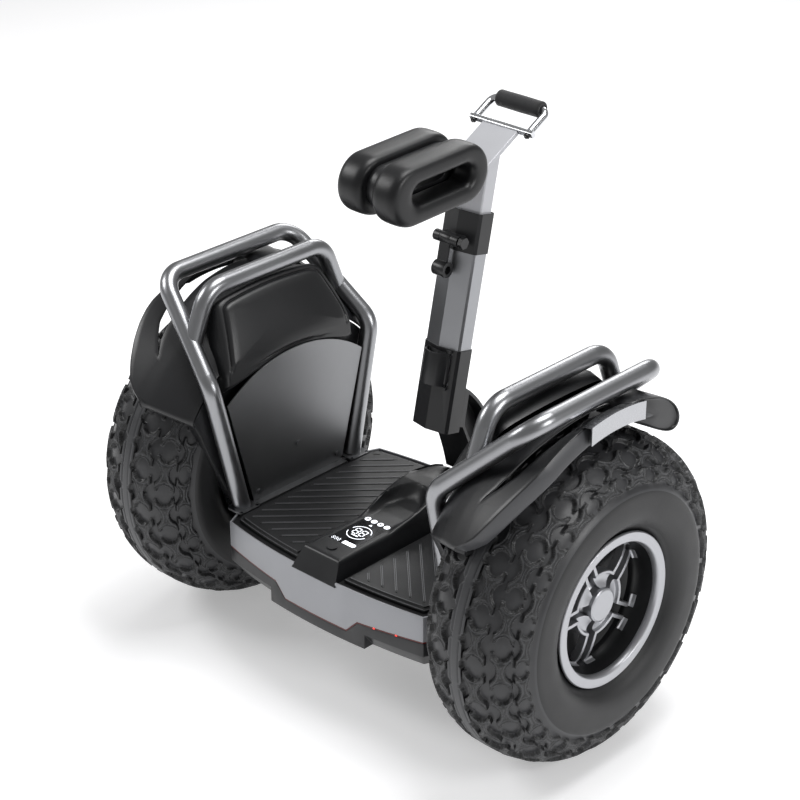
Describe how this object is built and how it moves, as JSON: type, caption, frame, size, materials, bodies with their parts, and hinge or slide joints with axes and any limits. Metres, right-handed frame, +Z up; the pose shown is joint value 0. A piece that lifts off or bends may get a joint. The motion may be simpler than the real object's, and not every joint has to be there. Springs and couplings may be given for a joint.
{
  "type": "self-balancing two-wheel scooter",
  "caption": "Stand-on scooter with two wide off-road tyres, a low deck between guard rails, and a leaning stem with padded knee rings and a pull handle.",
  "frame": {"origin": "on the ground under the axle, midway between the two wheels", "axes": "+X along the wheel axis towards the rider's right, +Y the direction of travel, +Z up"},
  "size_m": [0.8332, 0.5101, 0.8113],
  "materials": {
    "tyre": "matt",
    "rim_silver": "satin",
    "cap_silver": "satin",
    "rubber": "matt",
    "black_shell": "satin",
    "black_gloss": "satin",
    "skirt_silver": "satin",
    "panel_metal": "satin",
    "tube_metal": "polished",
    "trim_silver": "satin",
    "stem_silver": "satin",
    "stem_light": "satin",
    "stem_black": "satin",
    "handle_chrome": "polished",
    "grip_foam": "matt foam",
    "pad_cover": "satin",
    "frame_black": "satin",
    "mat_rubber": "matt",
    "display_glass": "gloss",
    "light_red": "gloss",
    "dark_metal": "satin",
    "steel": "satin",
    "battery_blue": "satin",
    "board_green": "satin"
  },
  "bodies": {
    "chassis": {"balance_sensor": "board_green", "battery_pack": "battery_blue", "bumper_front": "black_shell", "bumper_rear": "black_shell", "centring_bush": "rubber", "charge_socket": "black_shell", "console": "black_gloss", "controller": "board_green", "deck_plate": "dark_metal", "display_lens": "display_glass", "drive_brackets": "dark_metal", "fender_left": "black_shell", "fender_right": "black_shell", "fender_trims": "trim_silver", "flap_hinge": "dark_metal", "hub_motors": "dark_metal", "inner_rails": "tube_metal", "light_front": "light_red", "light_rear": "light_red", "outer_tube_left": "tube_metal", "outer_tube_right": "tube_metal", "panel_screws": "steel", "pivot_block": "stem_black", "pivot_pin": "steel", "side_boxes": "black_shell", "side_panel_left": "panel_metal", "side_panel_right": "panel_metal", "skirt_front": "skirt_silver", "skirt_rear": "skirt_silver", "spindles": "steel", "tub": "dark_metal"},
    "wheel_right": {"tyre_right": "tyre", "rim_right": "rim_silver", "hub_cap_right": "cap_silver", "valve_stem_right": "rubber"},
    "wheel_left": {"tyre_left": "tyre", "rim_left": "rim_silver", "hub_cap_left": "cap_silver", "valve_stem_left": "rubber"},
    "stem": {"neck": "stem_black", "lower_collar": "stem_black", "middle_column": "stem_silver", "upper_collar": "stem_black", "stem_pins": "steel"},
    "upper": {"upper_column": "stem_light", "upper_arm": "stem_light", "handle_bar": "handle_chrome", "handle_tube": "handle_chrome", "grip": "grip_foam", "handle_screws": "steel", "pad_frame": "frame_black", "knee_pad_right": "pad_cover", "knee_pad_left": "pad_cover"},
    "lever": {"clamp_lever": "stem_black"},
    "latch": {"latch": "stem_black"},
    "mat_right": {"mat_right": "mat_rubber"},
    "mat_left": {"mat_left": "mat_rubber"},
    "button": {"power_button": "black_gloss"},
    "flap": {"charge_flap": "rubber"}
  },
  "joints": [
    {"name": "wheel_right_spin", "type": "hinge", "parent": "chassis", "child": "wheel_right", "pos_m": [0.3271, 0, 0.2413], "axis": [1, 0, 0], "continuous": true},
    {"name": "wheel_left_spin", "type": "hinge", "parent": "chassis", "child": "wheel_left", "pos_m": [-0.3271, 0, 0.2413], "axis": [1, 0, 0], "continuous": true},
    {"name": "stem_lean", "type": "hinge", "parent": "chassis", "child": "stem", "pos_m": [0, 0.159, 0.23], "axis": [0, 1, 0], "range_deg": [-12, 12], "stiffness_Nm_per_rad": 90},
    {"name": "column_height", "type": "slide", "parent": "stem", "child": "upper", "axis": [0, 0.2096, 0.9778], "range_m": [-0.02, 0.15]},
    {"name": "clamp_lever_swing", "type": "hinge", "parent": "stem", "child": "lever", "pos_m": [0, 0.1088, 0.63633], "axis": [-1, 0, 0], "range_deg": [0, 95]},
    {"name": "latch_open", "type": "hinge", "parent": "stem", "child": "latch", "pos_m": [0.021, 0.08107, 0.4454], "axis": [0, 0.2096, 0.9778], "range_deg": [0, 100]},
    {"name": "mat_right_press", "type": "slide", "parent": "chassis", "child": "mat_right", "axis": [0, 0, -1], "range_m": [0, 0.0012], "stiffness_N_per_m": 20000},
    {"name": "mat_left_press", "type": "slide", "parent": "chassis", "child": "mat_left", "axis": [0, 0, -1], "range_m": [0, 0.0012], "stiffness_N_per_m": 20000},
    {"name": "power_press", "type": "slide", "parent": "chassis", "child": "button", "axis": [0, 0, -1], "range_m": [0, 0.0012], "stiffness_N_per_m": 600},
    {"name": "flap_lift", "type": "hinge", "parent": "chassis", "child": "flap", "pos_m": [0, 0.1866, 0.1946], "axis": [1, 0, 0], "range_deg": [0, 100]}
  ]
}
